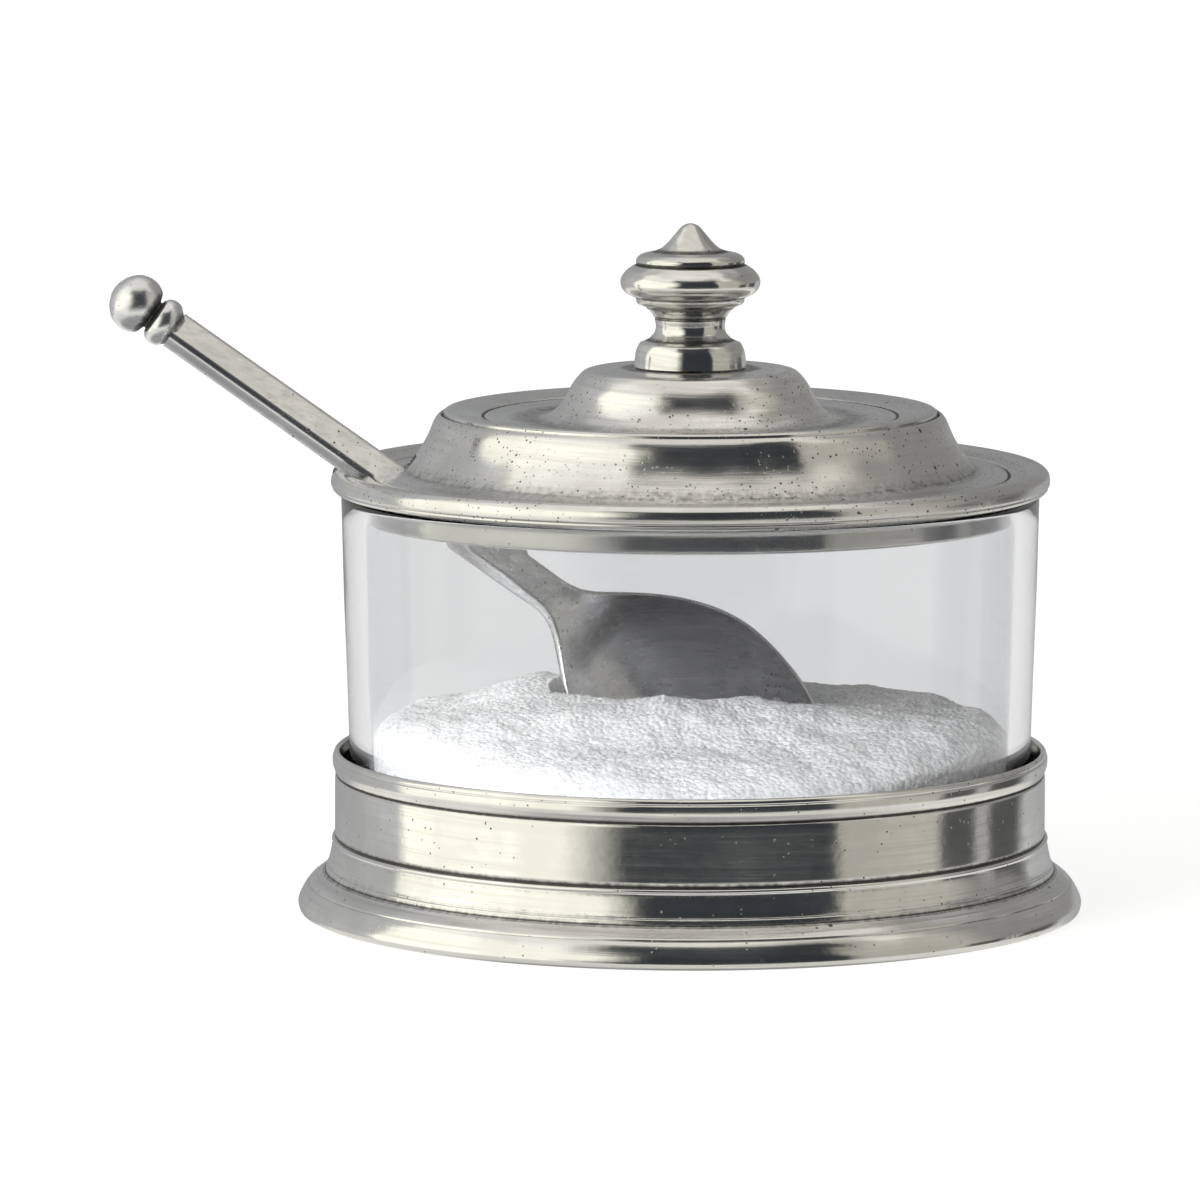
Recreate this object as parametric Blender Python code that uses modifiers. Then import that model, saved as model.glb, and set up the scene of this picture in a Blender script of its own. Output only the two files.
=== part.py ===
"""A pewter sugar bowl: a turned base ring, a drop-in glass, a notched lid with a finial, and its spoon.

The frame is metres with +Z up. The origin is on the table, on the bowl's axis. The spoon's handle
leaves over the rim at -X, and the spoon's hollow side faces -Y. Outlines are given in millimetres,
as radius and height, and the helpers turn them into metres.
"""

import math

import bmesh
import bpy
from mathutils import Matrix, Vector

MM = 0.001
STEPS = 48
SMALL_STEPS = 28
SCREW_STEPS = 16
GAP = 0.3  # between pieces that rest on each other
MERGE = 0.00001

# Base ring and its floor
FOOT_R = 57.5
WALL_R = 52.05
LIP_TOP = 23.4
SOCKET_R = 50.9  # inner wall, round the glass
FLOOR_R = 54.0
FLOOR_THICKNESS = 2.0

# Glass
GLASS_TOP = 61.0
GLASS_RIM_R = 50.95
GLASS_FOOT_R = 49.4
GLASS_FOOT = FLOOR_THICKNESS + GAP
GLASS_RIM_INNER_R = 47.6
GLASS_FLOOR_INNER_R = 46.3
GLASS_FLOOR = 7.2
GLASS_INNER_CORNER = 3.6
GLASS_OUTER_CORNER = 2.6

# Lid
FLANGE_R = 52.5
FLANGE_UNDER = GLASS_TOP + GAP
FLANGE_TOP = 63.9
FLANGE_EDGE_TOP = 64.7
DOME_CREST_R = 35.0
DOME_TOP = 73.3
BOSS_TOP = 79.2
SHELL = 1.8
RING_OUTER_R = 47.1
RING_INNER_R = 45.9
RING_FOOT = 57.5
NOTCH_WIDTH = 7.6
NOTCH_DEPTH_R = 36.0  # how near the axis the notch reaches
NOTCH_ROOF = 66.6

# Finial and its fixing
FINIAL_FOOT = BOSS_TOP + GAP
TIP = 100.35
SCREW_R = 1.5
SCREW_HOLE_R = 1.9
THREAD_END = 85.8
WASHER_R = 5.0
WASHER_THICKNESS = 0.8
HEAD_R = 3.4
HEAD_HEIGHT = 2.1
SCREW_SLOT = 0.8

# Spoon: points are (x, y, z), and the handle slopes down towards +X
HANDLE_TOP = Vector((-75.2, 0.0, 84.8))
HANDLE_END = Vector((-24.0, 0.0, 48.6))
HANDLE_ROLL = math.radians(47)  # of the broad face, from straight up towards -Y
HANDLE_WIDTHS = (5.6, 6.0)  # across the broad face, at the top and at the neck
HANDLE_DEPTH = 3.2
NECK_WIDTH = 5.7
BOWL_CENTRE = Vector((-0.4, 0.0, 28.8))
BOWL_SLOPE = math.radians(41)
BOWL_ROLL = math.radians(70)
BOWL_HALF_LENGTH = 23.8
BOWL_HALF_WIDTH = 16.2
BOWL_DEPTH = 7.0
BOWL_WALL = 1.2
PIVOT = Vector((-47.6, 0.0, 61.3))  # where the handle lies on the rim of the glass
TILT = math.radians(8)
SLOT_TILT = TILT + math.radians(1)  # the sugar makes room for a little more than the full tilt

# Sugar
SUGAR_LEVEL = 28.6  # behind the spoon
SUGAR_FRONT_DROP = 4.4  # how much lower it lies against the glass in front
SUGAR_RIDGE = 4.2  # height of the ridge in front of the spoon
SUGAR_HEAP = 5.2  # height of the heap left of the spoon
SUGAR_SLOT = 0.8  # clearance round the spoon's bowl

PEWTER = ((0.60, 0.59, 0.56), 0.32, 1.0)
DARK_PEWTER = ((0.42, 0.41, 0.39), 0.42, 1.0)
BRASS = ((0.72, 0.55, 0.28), 0.35, 1.0)
GLASS = ((0.93, 0.95, 0.95), 0.03, 0.0)
SUGAR = ((0.94, 0.94, 0.95), 0.75, 0.0)


def clear_scene():
    """Removes what the scene holds, so that only the bowl is left in it."""
    for thing in list(bpy.data.objects):
        bpy.data.objects.remove(thing)


def new_collection(name):
    collection = bpy.data.collections.new(name)
    bpy.context.scene.collection.children.link(collection)
    return collection


def new_material(name, look):
    """A Principled material from a look: its colour, roughness and metallic value."""
    colour, roughness, metallic = look
    material = bpy.data.materials.new(name)
    material.use_nodes = True
    shader = material.node_tree.nodes["Principled BSDF"]
    shader.inputs["Base Color"].default_value = (*colour, 1.0)
    shader.inputs["Roughness"].default_value = roughness
    shader.inputs["Metallic"].default_value = metallic
    return material


def link_object(name, mesh, collection):
    thing = bpy.data.objects.new(name, mesh)
    collection.objects.link(thing)
    return thing


def finish_piece(thing, look, edge_angle=30):
    """Gives a piece its own material and smooth shading, with its real edges kept sharp."""
    thing.data.materials.append(new_material(thing.name, look))
    thing.data.shade_smooth()
    thing.data.set_sharp_from_angle(angle=math.radians(edge_angle))
    return thing


def evaluated_mesh(thing):
    """The mesh that an object's modifiers make."""
    bpy.context.view_layer.update()
    graph = bpy.context.evaluated_depsgraph_get()
    return bpy.data.meshes.new_from_object(thing.evaluated_get(graph))


def as_mesh(thing):
    """Applies an object's modifiers to its own mesh."""
    mesh = evaluated_mesh(thing)
    thing.modifiers.clear()
    thing.data = mesh
    return thing


def arc(centre_r, centre_z, radius, start, end, points=4):
    """Points on a round stretch of an outline, from one angle to another, in degrees."""
    angles = [math.radians(start + (end - start) * i / (points - 1)) for i in range(points)]
    return [(centre_r + radius * math.cos(a), centre_z + radius * math.sin(a)) for a in angles]


def turned(name, outline, collection, steps=STEPS, closed=False):
    """A turned shape. The outline runs down the outer side and, if closed, back up the inner one."""
    mesh = bpy.data.meshes.new(name)
    count = len(outline)
    edges = [(i, i + 1) for i in range(count - 1)]
    if closed:
        edges.append((count - 1, 0))
    mesh.from_pydata([(r * MM, 0.0, z * MM) for r, z in outline], edges, [])
    thing = link_object(name, mesh, collection)
    screw = thing.modifiers.new("turn", "SCREW")
    screw.axis = "Z"
    screw.steps = steps
    screw.render_steps = steps
    screw.use_merge_vertices = True
    screw.merge_threshold = MERGE
    return as_mesh(thing)


def box_cutter(name, low, high, collection):
    """A hidden box between two corners, in millimetres."""
    bm = bmesh.new()
    size = Vector(high) - Vector(low)
    middle = (Vector(high) + Vector(low)) / 2
    place = Matrix.Translation(middle * MM) @ Matrix.Diagonal((*(size * MM), 1.0))
    bmesh.ops.create_cube(bm, size=1.0, matrix=place)
    return cutter_from(name, bm, collection)


def cutter_from(name, bm, collection):
    mesh = bpy.data.meshes.new(name)
    bm.to_mesh(mesh)
    bm.free()
    cutter = link_object(name, mesh, collection)
    cutter.hide_render = True
    cutter.display_type = "WIRE"
    return cutter


def combine(thing, other, operation):
    """A Boolean of one piece with another, applied straight away."""
    boolean = thing.modifiers.new(operation.lower(), "BOOLEAN")
    boolean.object = other
    boolean.operation = operation
    boolean.solver = "EXACT"
    return as_mesh(thing)


def make_base_ring(parts):
    """The cast ring that holds the glass: rolled lip, plain wall, ledge and a quarter-round foot."""
    outline = (
        [(51.3, LIP_TOP - 0.5), (51.6, LIP_TOP), (52.1, LIP_TOP - 0.3), (52.35, 22.0), (52.2, 20.9)]
        + [(51.75, 20.1), (WALL_R, 19.6), (WALL_R, 12.0), (52.4, 10.2), (53.1, 6.6), (53.5, 5.75)]
        + arc(FOOT_R - 3.4, 1.35, 3.4, 82, 0, 5)
        + [(FOOT_R - 0.2, 0.0), (FLOOR_R + GAP, 0.0), (FLOOR_R + GAP, FLOOR_THICKNESS + GAP)]
        + [(SOCKET_R, FLOOR_THICKNESS + GAP), (SOCKET_R, 21.6)]
    )
    return finish_piece(turned("base_ring", outline, parts, closed=True), PEWTER)


def make_base_floor(parts):
    """The disc soldered into the foot, flush with the table, on which the glass stands."""
    outline = [
        (0.0, FLOOR_THICKNESS),
        (FLOOR_R - 0.4, FLOOR_THICKNESS),
        (FLOOR_R, FLOOR_THICKNESS - 0.4),
        (FLOOR_R, 0.0),
        (0.0, 0.0),
    ]
    return finish_piece(turned("base_floor", outline, parts), DARK_PEWTER)


def glass_inner_radius(height):
    """The inside of the glass opens slightly from its floor to its rim."""
    share = (height - GLASS_FLOOR) / (GLASS_TOP - GLASS_FLOOR)
    return GLASS_FLOOR_INNER_R + (GLASS_RIM_INNER_R - GLASS_FLOOR_INNER_R) * share


def make_glass(parts):
    """The thick glass, which lifts out of the base."""
    corner = GLASS_INNER_CORNER
    foot_corner = GLASS_OUTER_CORNER
    inside = (
        [(0.0, GLASS_FLOOR)]
        + arc(GLASS_FLOOR_INNER_R - corner, GLASS_FLOOR + corner, corner, -90, 0, 4)
        + [(GLASS_RIM_INNER_R, GLASS_TOP - 0.6), (GLASS_RIM_INNER_R + 0.6, GLASS_TOP)]
    )
    outside = (
        [(GLASS_RIM_R - 0.6, GLASS_TOP), (GLASS_RIM_R, GLASS_TOP - 0.6)]
        + [(GLASS_RIM_R - 1.0, 26.0)]
        + arc(GLASS_FOOT_R - foot_corner, GLASS_FOOT + foot_corner, foot_corner, 0, -90, 4)
        + [(0.0, GLASS_FOOT)]
    )
    return finish_piece(turned("glass_liner", inside + outside, parts), GLASS)


def make_locating_ring(parts, notch):
    """The band under the lid that centres it inside the glass, open where the spoon leaves."""
    outline = [
        (RING_OUTER_R, FLANGE_UNDER - GAP),
        (RING_OUTER_R, RING_FOOT + 0.4),
        (RING_OUTER_R - 0.4, RING_FOOT),
        (RING_INNER_R, RING_FOOT),
        (RING_INNER_R, FLANGE_UNDER - GAP),
    ]
    ring = turned("lid_locating_ring", outline, parts, closed=True)
    return finish_piece(combine(ring, notch, "DIFFERENCE"), DARK_PEWTER)


def lid_outer_outline():
    """The lid's top, from the screw hole over the boss and the dome to the flange's rolled edge."""
    boss = [(SCREW_HOLE_R, BOSS_TOP), (14.4, BOSS_TOP), (16.3, 78.3), (17.6, 76.3), (18.9, 73.9)]
    floor = [(20.6, 72.3), (23.0, 71.9), (29.9, 72.3), (30.3, 71.95), (30.7, 72.5)]
    crest = arc(DOME_CREST_R, DOME_TOP - 1.1, 1.1, 100, 25, 4)
    wall = [(DOME_CREST_R + 1.2, 72.5), (37.0, 72.1), (37.6, 71.0), (38.1, 69.8), (38.9, 68.3), (39.7, 66.9)]
    cove = arc(43.9, 68.1, 4.0, 210, 262, 4)
    flange = [(46.2, FLANGE_TOP), (46.6, FLANGE_TOP - 0.4), (47.0, FLANGE_TOP), (49.6, FLANGE_TOP)]
    edge = arc(FLANGE_R - 1.6, FLANGE_EDGE_TOP - 1.6, 1.6, 105, -70, 6)
    return boss + floor + crest + wall + cove + flange + edge


def lid_under_outline():
    """The lid's hollow side, from the flange up under the dome and the boss to the screw hole."""
    flange = [(50.9, FLANGE_UNDER), (44.0, FLANGE_UNDER)]
    cove = arc(43.9, 68.1, 6.1, 252, 204, 3)
    dome = [(36.4, 69.2), (35.6, 70.8), (34.0, 71.4), (24.0, 70.1), (20.0, 70.1)]
    boss = [(17.4, 71.9), (16.1, 75.3), (14.4, BOSS_TOP - SHELL), (SCREW_HOLE_R, BOSS_TOP - SHELL)]
    return flange + cove + dome + boss


def make_lid(parts, notch):
    """The thin cast lid, hollow below, with a notch in its edge for the spoon."""
    outline = lid_outer_outline() + lid_under_outline()
    lid = turned("lid_cover", outline, parts, closed=True)
    return finish_piece(combine(lid, notch, "DIFFERENCE"), PEWTER)


def make_finial(parts):
    """The turned knob on the lid, with a blind threaded hole in its foot."""
    cone = [(0.0, TIP), (1.3, 99.9), (3.2, 97.6), (4.6, 96.5), (6.9, 95.9), (7.9, 95.1), (7.9, 94.4)]
    bead = arc(8.0, 92.0, 2.2, 70, -62, 6)
    ring = [(7.9, 89.4), (7.8, 88.8)]
    neck = arc(7.8, 85.5, 2.75, 118, 242, 7)
    block = [(7.4, 82.7), (8.0, 81.3), (8.2, FINIAL_FOOT)]
    hole = [(SCREW_R + GAP, FINIAL_FOOT), (SCREW_R + GAP, THREAD_END + 0.7), (0.0, THREAD_END + 0.7)]
    outline = cone + bead + ring + neck + block + hole
    return finish_piece(turned("finial_knob", outline, parts, SMALL_STEPS), PEWTER)


def make_finial_washer(parts):
    top = BOSS_TOP - SHELL - GAP
    inner = SCREW_HOLE_R
    outline = [
        (inner, top),
        (WASHER_R, top),
        (WASHER_R, top - WASHER_THICKNESS),
        (inner, top - WASHER_THICKNESS),
    ]
    washer = turned("finial_washer", outline, parts, SMALL_STEPS, closed=True)
    return finish_piece(washer, BRASS)


def make_finial_screw(parts, cutters):
    """The slotted screw that holds the finial, put in from under the lid."""
    head_top = BOSS_TOP - SHELL - WASHER_THICKNESS - 2 * GAP
    head_foot = head_top - HEAD_HEIGHT
    outline = [
        (0.0, THREAD_END),
        (SCREW_R - 0.3, THREAD_END),
        (SCREW_R, THREAD_END - 0.4),
        (SCREW_R, head_top),
        (HEAD_R, head_top),
        (HEAD_R, head_foot + 0.6),
        (HEAD_R - 0.9, head_foot),
        (0.0, head_foot),
    ]
    half = SCREW_SLOT / 2
    low = (-2 * HEAD_R, -half, head_foot - 1.0)
    high = (2 * HEAD_R, half, head_foot + 0.9)
    slot = box_cutter("screw_slot_cutter", low, high, cutters)
    screw = turned("finial_screw", outline, parts, SCREW_STEPS)
    return finish_piece(combine(screw, slot, "DIFFERENCE"), BRASS)


def frame_along(slope, roll):
    """The spoon's axes on a slope: along it, across its face, and out of its hollow side."""
    along = Vector((math.cos(slope), 0.0, -math.sin(slope)))
    upward = Vector((math.sin(slope), 0.0, math.cos(slope)))
    face = upward * math.cos(roll) + Vector((0.0, -1.0, 0.0)) * math.sin(roll)
    across = face.cross(along)
    return along, across, face


def handle_slope():
    run = HANDLE_END - HANDLE_TOP
    return math.atan2(-run.z, run.x)


def handle_section(centre, width, depth, across, face):
    """Eight corners of the handle's bevelled section."""
    bevel = 0.28
    corners = []
    for sign_a, sign_f in ((1, 1), (-1, 1), (-1, -1), (1, -1)):
        near = Vector((sign_a * width / 2, sign_f * depth * (0.5 - bevel)))
        far = Vector((sign_a * width * (0.5 - bevel), sign_f * depth / 2))
        corners += [near, far] if sign_a == sign_f else [far, near]
    return [centre + across * c.x + face * c.y for c in corners]


def loft(name, sections, collection):
    """A closed solid through a row of sections with the same number of corners."""
    bm = bmesh.new()
    rings = [[bm.verts.new(p * MM) for p in section] for section in sections]
    count = len(rings[0])
    for first, second in zip(rings, rings[1:]):
        for i in range(count):
            j = (i + 1) % count
            bm.faces.new((first[i], first[j], second[j], second[i]))
    bm.faces.new(rings[0])
    bm.faces.new(rings[-1])
    bmesh.ops.recalc_face_normals(bm, faces=bm.faces)
    mesh = bpy.data.meshes.new(name)
    bm.to_mesh(mesh)
    bm.free()
    return link_object(name, mesh, collection)


def make_handle(collection):
    """The faceted handle, which turns flat at the neck and runs into the end of the bowl."""
    across, face = frame_along(handle_slope(), HANDLE_ROLL)[1:]
    b_along, b_across, b_face = frame_along(BOWL_SLOPE, BOWL_ROLL)
    root = BOWL_CENTRE - b_along * BOWL_HALF_LENGTH
    mid_across = (across + b_across).normalized()
    mid_face = (face + b_face).normalized()
    plan = [
        (HANDLE_TOP, HANDLE_WIDTHS[0], HANDLE_DEPTH, across, face),
        (HANDLE_END, HANDLE_WIDTHS[1], HANDLE_DEPTH, across, face),
        (HANDLE_END.lerp(root, 0.6), NECK_WIDTH, 2.6, mid_across, mid_face),
        (root - b_face * 0.3, NECK_WIDTH, 2.2, b_across, b_face),
        (root - b_face * 1.6 + b_along * 2.4, NECK_WIDTH + 2.0, 1.5, b_across, b_face),
    ]
    return loft("spoon", [handle_section(*row) for row in plan], collection)


def make_knob(collection):
    """The button and collar on the end of the handle, turned about the handle's own line."""
    outline = (
        arc(0.7, 7.0, 3.6, 90, -50, 7)
        + [(2.2, 3.95), (2.2, 3.65)]
        + arc(1.8, 1.9, 1.8, 65, -65, 5)
        + [(2.0, -0.8), (0.0, -0.8)]
    )
    outline[0] = (0.0, outline[0][1])
    knob = turned("spoon_knob", outline, collection, 20)
    along, across, face = frame_along(handle_slope(), HANDLE_ROLL)
    turn = Matrix((across, face, -along)).transposed().to_4x4()
    if turn.determinant() < 0:
        turn = Matrix((face, across, -along)).transposed().to_4x4()
    knob.data.transform(Matrix.Translation(HANDLE_TOP * MM) @ turn)
    return knob


def bowl_width_share(t):
    """How much wider or narrower than an ellipse the bowl is, from its neck at -1 to its tip at 1."""
    return 1.0 + 0.10 * t - 0.36 * max(0.0, -t) ** 2


def bowl_points():
    """Points of the open bowl surface, in millimetres, and how they join: half an egg-shaped ball."""
    bm = bmesh.new()
    bmesh.ops.create_uvsphere(bm, u_segments=28, v_segments=14, radius=1.0)
    upper = [v for v in bm.verts if v.co.z > 1e-4]
    bmesh.ops.delete(bm, geom=upper, context="VERTS")
    along, across, face = frame_along(BOWL_SLOPE, BOWL_ROLL)
    for vert in bm.verts:
        s, w, d = vert.co
        width = BOWL_HALF_WIDTH * bowl_width_share(s)
        point = BOWL_CENTRE + along * (s * BOWL_HALF_LENGTH) + across * (w * width)
        vert.co = (point + face * (d * BOWL_DEPTH)) * MM
    return bm


def make_bowl(collection):
    """The spoon's bowl, an even shell that grows outwards from its hollow side."""
    bm = bowl_points()
    mesh = bpy.data.meshes.new("spoon_bowl")
    bm.to_mesh(mesh)
    bm.free()
    bowl = link_object("spoon_bowl", mesh, collection)
    shell = bowl.modifiers.new("wall", "SOLIDIFY")
    shell.thickness = BOWL_WALL * MM
    shell.offset = 1.0
    return as_mesh(bowl)


def make_spoon(parts, cutters):
    """One casting: knob, handle and bowl joined. It stands on a pivot at the rim of the glass."""
    spoon = make_handle(parts)
    pieces = [make_knob(cutters), make_bowl(cutters)]
    for piece in pieces:
        combine(spoon, piece, "UNION")
        bpy.data.objects.remove(piece)
    spoon.data.transform(Matrix.Translation(-PIVOT * MM))
    pivot = bpy.data.objects.new("spoon_pivot", None)
    pivot.location = PIVOT * MM
    parts.objects.link(pivot)
    spoon.parent = pivot
    return finish_piece(spoon, PEWTER)


def hump(x, y, centre, spread):
    """A rounded heap, 1 at its centre."""
    return math.exp(-(((x - centre[0]) / spread[0]) ** 2) - ((y - centre[1]) / spread[1]) ** 2)


def sugar_height(x, y):
    """The heaped surface: low against the front glass, a ridge before the spoon and a heap beside it."""
    front = min(1.0, max(0.0, (-y - 20.0) / 25.0))
    ridge = SUGAR_RIDGE * hump(x, y, (2.0, -15.0), (34.0, 11.0))
    heap = SUGAR_HEAP * hump(x, y, (-22.0, 5.0), (11.0, 13.0))
    return SUGAR_LEVEL - SUGAR_FRONT_DROP * front**1.5 + ridge + heap


def make_sugar(parts, cutters):
    """The sugar, with a slot in which the spoon's bowl can rise."""
    foot = GLASS_FLOOR + GAP
    corner = GLASS_INNER_CORNER
    rings = 7
    rim = glass_inner_radius(SUGAR_LEVEL)
    top = [(rim * i / rings, SUGAR_LEVEL) for i in range(rings)] + [(rim - GAP, SUGAR_LEVEL)]
    corner_r = GLASS_FLOOR_INNER_R - corner
    foot_curve = arc(corner_r, GLASS_FLOOR + corner, corner - GAP, 0, -90, 4)
    sugar = turned("sugar_fill", top + foot_curve + [(0.0, foot)], parts)
    for vert in sugar.data.vertices:
        if vert.co.z > (SUGAR_LEVEL - 0.01) * MM:
            vert.co.z = sugar_height(vert.co.x / MM, vert.co.y / MM) * MM
    combine(sugar, sugar_slot(cutters), "DIFFERENCE")
    return finish_piece(sugar, SUGAR, edge_angle=60)


def sugar_slot(cutters):
    """The room that the spoon's bowl needs as it tilts: the hull of its places, a little enlarged."""
    bm = bowl_points()
    bm.normal_update()
    axis = PIVOT * MM
    face = frame_along(BOWL_SLOPE, BOWL_ROLL)[2]
    grown = []
    for vert in bm.verts:
        outside = vert.co + vert.normal * (BOWL_WALL + SUGAR_SLOT) * MM
        grown += [outside, outside + face * SUGAR_SLOT * MM]
    bm.free()
    hull = bmesh.new()
    for step in range(3):
        turn = Matrix.Rotation(-SLOT_TILT * step / 2, 4, "Y")
        for point in grown:
            hull.verts.new(axis + turn @ (point - axis))
    made = bmesh.ops.convex_hull(hull, input=hull.verts)
    inner = [g for g in made["geom_interior"] if isinstance(g, bmesh.types.BMVert)]
    bmesh.ops.delete(hull, geom=inner, context="VERTS")
    bmesh.ops.recalc_face_normals(hull, faces=hull.faces)
    return cutter_from("sugar_slot_cutter", hull, cutters)


def main():
    clear_scene()
    parts = new_collection("sugar_bowl")
    cutters = new_collection("cutters")
    half = NOTCH_WIDTH / 2
    low = (-FLANGE_R - 8.0, -half, RING_FOOT - 3.0)
    notch = box_cutter("notch_cutter", low, (-NOTCH_DEPTH_R, half, NOTCH_ROOF), cutters)
    make_base_ring(parts)
    make_base_floor(parts)
    make_glass(parts)
    make_sugar(parts, cutters)
    make_lid(parts, notch)
    make_locating_ring(parts, notch)
    make_finial(parts)
    make_finial_washer(parts)
    make_finial_screw(parts, cutters)
    make_spoon(parts, cutters)


main()
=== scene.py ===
"""The looks of the pewter sugar bowl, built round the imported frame.

Outlines are in millimetres, as radius and height, and the mesh builders turn them into metres.
Each piece keeps to the size and place of the CAD node that it stands for.
"""

import math

import bmesh
import bpy
import numpy as np
from mathutils import Matrix, Vector, noise


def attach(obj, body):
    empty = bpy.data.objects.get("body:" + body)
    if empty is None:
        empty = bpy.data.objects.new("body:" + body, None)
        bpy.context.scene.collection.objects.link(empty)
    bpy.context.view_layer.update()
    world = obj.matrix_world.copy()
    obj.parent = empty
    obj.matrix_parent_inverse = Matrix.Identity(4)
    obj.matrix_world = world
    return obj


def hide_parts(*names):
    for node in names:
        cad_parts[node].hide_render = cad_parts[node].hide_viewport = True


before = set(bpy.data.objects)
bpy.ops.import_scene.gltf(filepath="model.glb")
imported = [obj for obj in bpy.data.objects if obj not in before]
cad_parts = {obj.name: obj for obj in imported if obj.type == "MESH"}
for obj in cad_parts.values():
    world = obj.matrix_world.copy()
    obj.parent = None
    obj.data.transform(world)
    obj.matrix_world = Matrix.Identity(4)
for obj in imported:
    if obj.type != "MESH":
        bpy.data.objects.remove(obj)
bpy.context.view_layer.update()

MM = 0.001
TURN_STEPS = 256
FINIAL_STEPS = 128
KNOB_STEPS = 64

# ------------------------------------------------------------------ camera, floor and light

CAMERA_DISTANCE = 1.2
CAMERA_PITCH = math.radians(7.223)
CAMERA_LENS = 246.07
AIM_HEIGHT = 0.0451
AIM_LEFT = 0.01317  # the bowl stands right of the picture's middle


def make_camera():
    data = bpy.data.cameras.new("camera")
    data.lens = CAMERA_LENS
    data.sensor_width = 36.0
    data.clip_start = 0.05
    data.clip_end = 50.0
    camera = bpy.data.objects.new("camera", data)
    bpy.context.scene.collection.objects.link(camera)
    back = Vector((0.0, -math.cos(CAMERA_PITCH), math.sin(CAMERA_PITCH)))
    aim = Vector((-AIM_LEFT, 0.0, AIM_HEIGHT))
    camera.location = aim + back * CAMERA_DISTANCE
    camera.rotation_euler = (-back).to_track_quat("-Z", "Y").to_euler()
    bpy.context.scene.camera = camera


def ramp(nodes, stops):
    """A colour ramp node from (position, colour) stops."""
    node = nodes.new("ShaderNodeValToRGB")
    node.color_ramp.interpolation = "LINEAR"
    elements = node.color_ramp.elements
    while len(elements) > 1:
        elements.remove(elements[-1])
    elements[0].position = stops[0][0]
    elements[0].color = (*stops[0][1], 1.0)
    for position, colour in stops[1:]:
        element = elements.new(position)
        element.color = (*colour, 1.0)
    return node


def math_node(nodes, links, operation, *values):
    """A Math node fed with sockets or plain numbers."""
    node = nodes.new("ShaderNodeMath")
    node.operation = operation
    for socket, value in zip(node.inputs, values):
        if isinstance(value, (int, float)):
            socket.default_value = value
        else:
            links.new(value, socket)
    return node.outputs[0]


def turn_share(degrees):
    """Where a compass angle lies on the studio's ramp: 0.5 is the camera's side, more is right."""
    return degrees / 360.0 + 0.5


BACK_WALL = (0.33, 0.335, 0.34)
SIDE_GREY = (0.60, 0.60, 0.60)
SOFTBOX = (1.42, 1.41, 1.24)
DARK_FRONT = (0.045, 0.050, 0.056)
UPPER_DARK = (0.050, 0.054, 0.060)
UPPER_SOFTBOX = (1.15, 1.14, 1.06)
SIDE_SHADE = (0.34, 0.335, 0.32)
UPPER_BACK = (0.80, 0.79, 0.75)
BEIGE_CARD = (0.60, 0.58, 0.515)
DARK_CARD = (0.11, 0.11, 0.11)
GAP_LIGHT = (0.50, 0.49, 0.46)

# What the metal reflects at table height: compass degrees, 0 towards the camera and 90 to the right.
LOW_RING = [
    (-180, BACK_WALL),
    (-125, SIDE_GREY),
    (-109, SIDE_GREY),
    (-105, SOFTBOX),
    (-43, SOFTBOX),
    (-21, DARK_FRONT),
    (46, DARK_FRONT),
    (49, BEIGE_CARD),
    (86, BEIGE_CARD),
    (89, DARK_CARD),
    (103, DARK_CARD),
    (106, GAP_LIGHT),
    (111, GAP_LIGHT),
    (114, DARK_CARD),
    (130, DARK_CARD),
    (138, SIDE_GREY),
    (180, BACK_WALL),
]
# A little above the table there are no dark cards at the right, and the softbox reaches further round.
MID_RING = [
    (-180, BACK_WALL),
    (-125, SIDE_GREY),
    (-109, SIDE_GREY),
    (-105, SOFTBOX),
    (-30, SOFTBOX),
    (-16, DARK_FRONT),
    (46, DARK_FRONT),
    (49, BEIGE_CARD),
    (88, BEIGE_CARD),
    (104, SIDE_SHADE),
    (150, SIDE_SHADE),
    (180, BACK_WALL),
]
# Well above the camera.
UPPER_RING = [
    (-180, UPPER_BACK),
    (-125, SIDE_GREY),
    (-108, UPPER_SOFTBOX),
    (-45, UPPER_SOFTBOX),
    (-31, UPPER_DARK),
    (54, UPPER_DARK),
    (59, (0.54, 0.52, 0.46)),
    (68, (0.64, 0.62, 0.55)),
    (73, (1.00, 0.98, 0.88)),
    (84, (1.00, 0.98, 0.88)),
    (96, (0.46, 0.44, 0.40)),
    (130, (0.45, 0.44, 0.42)),
    (180, UPPER_BACK),
]
OVERHEAD = (0.98, 0.96, 0.88)
TABLE = (0.95, 0.94, 0.88)
BELOW = (0.36, 0.36, 0.36)


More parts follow.
